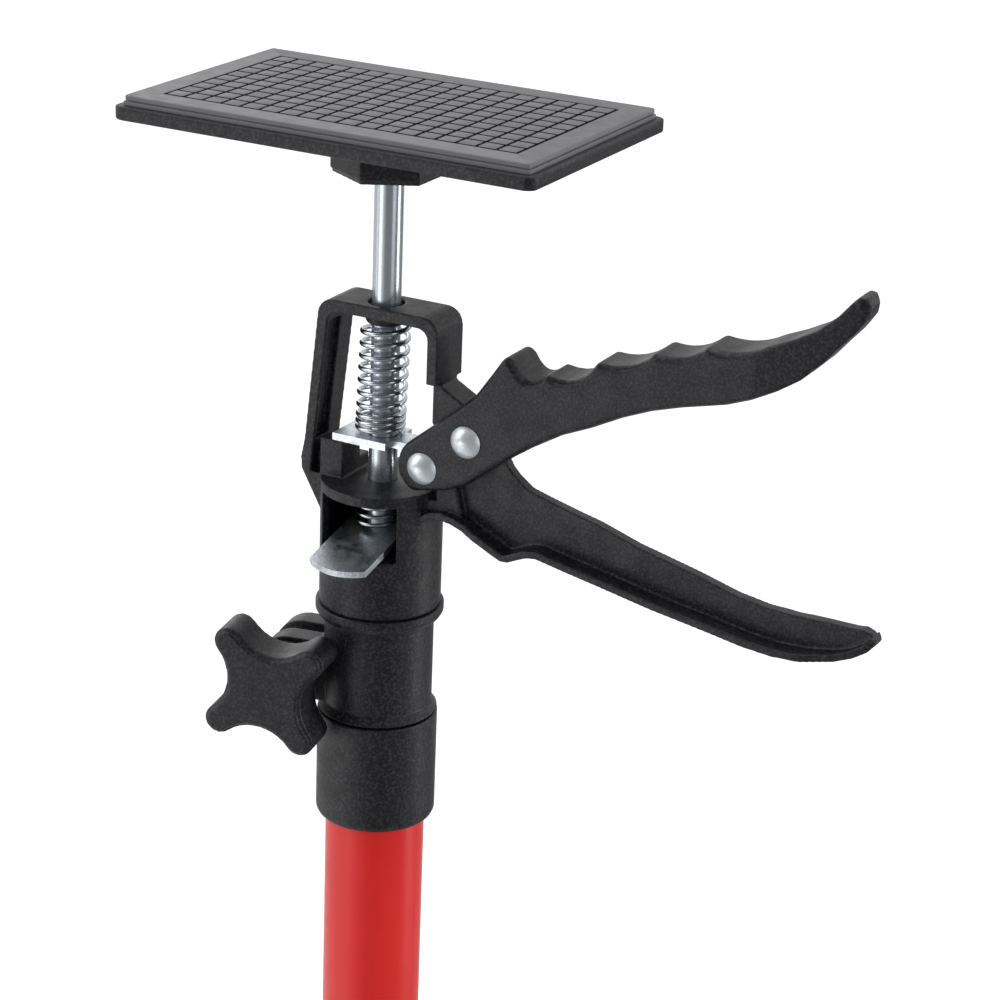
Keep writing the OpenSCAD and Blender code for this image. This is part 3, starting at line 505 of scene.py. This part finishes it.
# Moulded pieces
def moulded(node, voxel, rounds, share):
    """A copy of a node with every edge and corner softened, as a moulded piece has them."""
    name = node + "_moulding"
    mesh = bpy.data.meshes.new(name)
    build = bmesh.new()
    build.from_mesh(nodes[node].data)
    bmesh.ops.remove_doubles(build, verts=build.verts, dist=WELD)
    build.to_mesh(mesh)
    build.free()
    obj = new_object(name, mesh)
    remesh = obj.modifiers.new("remesh", "REMESH")
    remesh.mode = "VOXEL"
    remesh.voxel_size = voxel * MM
    smooth = obj.modifiers.new("smooth", "SMOOTH")
    smooth.factor = SMOOTHING
    smooth.iterations = rounds
    thin = obj.modifiers.new("thin", "DECIMATE")
    thin.ratio = share
    apply_modifiers(obj)
    for face in obj.data.polygons:
        face.use_smooth = True
    return obj


def mouldings():
    for node, body, voxel, rounds, share in MOULDINGS:
        mat = HEAD_PLASTIC if node == "head_body" else PLASTIC
        finish_piece(moulded(node, voxel, rounds, share), mat, body, node)


# Rubber soles
def rounded_loop(cx, cy, z, length, width, radius):
    """Points round a rectangle with round corners."""
    ring = []
    radius = min(radius, length / 2, width / 2)
    for sx, sy, start in ((1, 1, 0), (-1, 1, 90), (-1, -1, 180), (1, -1, 270)):
        x, y = cx + sx * (length / 2 - radius), cy + sy * (width / 2 - radius)
        for k in range(CORNER_STEPS + 1):
            a = math.radians(start + 90 * k / CORNER_STEPS)
            ring.append(Vector((x + radius * math.cos(a), y + radius * math.sin(a), z)))
    return ring


def soft_slab(name, cx, cy, z0, z1, length, width, radius, edge, up):
    """A slab whose far rim is rounded, from z0 to z1 along up."""
    inset = edge * RIM_INSET
    rings = [
        rounded_loop(cx, cy, z0, length, width, radius),
        rounded_loop(cx, cy, z1 - up * edge, length, width, radius),
        rounded_loop(cx, cy, z1 - up * inset, length - 2 * inset, width - 2 * inset, radius - inset),
        rounded_loop(cx, cy, z1, length - 2 * edge, width - 2 * edge, max(radius - edge, edge)),
    ]
    if up < 0:
        rings.reverse()
    return skin(name, rings)


def sole_border(floor, face, length, width, inner, up):
    """The smooth border of a sole, as a ring with an outer and an inner wall."""
    rings = [
        rounded_loop(0, 0, floor, length, width, CORNER),
        rounded_loop(0, 0, face - up * EDGE * 2, length, width, CORNER),
        rounded_loop(0, 0, face, length - 4 * EDGE, width - 4 * EDGE, CORNER - 2 * EDGE),
        rounded_loop(0, 0, face, inner[0] + 2 * EDGE, inner[1] + 2 * EDGE, 4 * EDGE),
        rounded_loop(0, 0, face - up * EDGE, inner[0], inner[1], 3 * EDGE),
        rounded_loop(0, 0, floor, inner[0], inner[1], 3 * EDGE),
    ]
    return skin("border", rings, closed=True, flip=up < 0)


def rubber_sole(node, name, body):
    low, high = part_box(node)
    upper = low.z > MIDWAY
    up = 1 if upper else -1
    back, face = (low.z, high.z) if upper else (high.z, low.z)
    lip_l, lip_w = high.x - low.x, high.y - low.y
    length, width = lip_l - 2 * LIP, lip_w - 2 * LIP
    step = abs(face - back) * LEDGE
    waist = back + up * (step + SEAM)
    floor = face - up * GROOVE_DEEP
    grid_l, grid_w = length - 2 * BORDER, width - 2 * BORDER
    inner = (grid_l + GROOVE, grid_w + GROOVE)
    meshes = [
        soft_slab("lower", 0, 0, back, back + up * step, lip_l, lip_w, CORNER, EDGE, up),
        soft_slab("seam", 0, 0, back, waist, length - 2 * SEAM, width - 2 * SEAM, CORNER, SEAM / 4, up),
        soft_slab("middle", 0, 0, waist, floor, length, width, CORNER, EDGE / 4, up),
        sole_border(floor, face, length, width, inner, up),
    ]
    cell_l, cell_w = grid_l / BLOCKS_L, grid_w / BLOCKS_W
    for i in range(BLOCKS_L):
        for j in range(BLOCKS_W):
            x = -grid_l / 2 + cell_l * (i + 0.5)
            y = -grid_w / 2 + cell_w * (j + 0.5)
            block_l, block_w = cell_l - GROOVE, cell_w - GROOVE
            meshes.append(soft_slab("block", x, y, floor, face, block_l, block_w, 3 * EDGE, EDGE, up))
    obj = join(name, meshes)
    smooth_by_angle(obj, SOLE_CREASE)
    finish_piece(obj, RUBBER, body, node)
    # the floor and walls of the grooves get a near-black rubber, as painted shade where the grooves would be
    # shaded
    obj.data.materials.append(GROOVE_PAINTED_SHADE)
    for side in obj.data.polygons:
        c = side.center
        in_painted_shade = abs(c.z - floor) < SEAM / 4 or abs(side.normal.z) < STEEP
        if in_painted_shade and abs(c.x) < inner[0] / 2 + EDGE and abs(c.y) < inner[1] / 2 + EDGE:
            side.material_index = 1


# Wound springs, with the same turns as the frame's
def coil_points(radius, low, high, turns, closed=0, close_pitch=0.0, lean=0.0, slope=0.0):
    """Points along a coil whose lowest turns may lie close, and whose lower end may lean aside or slope."""
    points = []
    open_pitch = (high - low - closed * close_pitch) / (turns - closed)
    count = round(turns * PER_TURN)
    for i in range(count + 1):
        t = turns * i / count
        z = low + t * close_pitch if t < closed else low + closed * close_pitch + (t - closed) * open_pitch
        share = (high - z) / (high - low)
        a = 2 * math.pi * t
        y = radius * math.sin(a)
        rise = y * math.tan(math.radians(slope)) * share
        points.append(Vector((radius * math.cos(a) - lean * share, y, HEAD_Z + z + rise)) * MM)
    return points


def sweep(name, points, radius):
    """A round wire along points, closed by flat ends."""
    rings = []
    last = len(points) - 1
    normal = None
    for i, point in enumerate(points):
        way = (points[min(i + 1, last)] - points[max(i - 1, 0)]).normalized()
        normal = way.orthogonal() if normal is None else normal - way * normal.dot(way)
        normal.normalize()
        side = way.cross(normal)
        angles = (2 * math.pi * k / WIRE_SIDES for k in range(WIRE_SIDES))
        rings.append([point + radius * (math.cos(a) * normal + math.sin(a) * side) for a in angles])
    obj = new_object(name, skin(name, rings))
    smooth_by_angle(obj, WIRE_CREASE)
    return obj


def springs():
    path = coil_points(radius=6.65, low=14.553, high=46.75, turns=10.1, closed=3, close_pitch=2.0, lean=1.2)
    drive = sweep("drive_spring_wire", path, DRIVE_WIRE_R * MM)
    finish_piece(drive, WIRE_ZINC, "head", "drive_spring")
    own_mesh(drive)
    path = coil_points(radius=7.75, low=-12.335, high=-3.65, turns=4.2, slope=13)
    release = sweep("release_spring_wire", path, RELEASE_WIRE_R * MM)
    finish_piece(release, WIRE_ZINC, "head", "release_spring")
    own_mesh(release)


def carried_over():
    for node, mat in (
        ("outer_tube", RED), ("inner_tube", ROD_ZINC), ("push_rod", ROD_ZINC), ("knob_stud", ROD_ZINC),
        ("foot_ball", ROD_ZINC), ("pad_ball", ROD_ZINC), ("clamp_nut", PLATE_ZINC), ("rod_stop", PLATE_ZINC),
        ("drive_plate", PLATE_ZINC), ("release_plate", PLATE_ZINC), ("pivot_rivet", RIVET_ZINC),
        ("nose_rivet", RIVET_ZINC), ("foot_plug", PLASTIC), ("tube_guide", PLASTIC),
        ("foot_socket_ring", PLASTIC), ("pad_socket_ring", PLASTIC),
    ):
        dress(node, mat)


camera()
stage()
carried_over()
rubber_sole("pad_rubber", "pad_sole", "pad")
rubber_sole("foot_rubber", "foot_sole", "foot")
springs()
mouldings()

scene = bpy.context.scene
scene.view_settings.view_transform = "Standard"
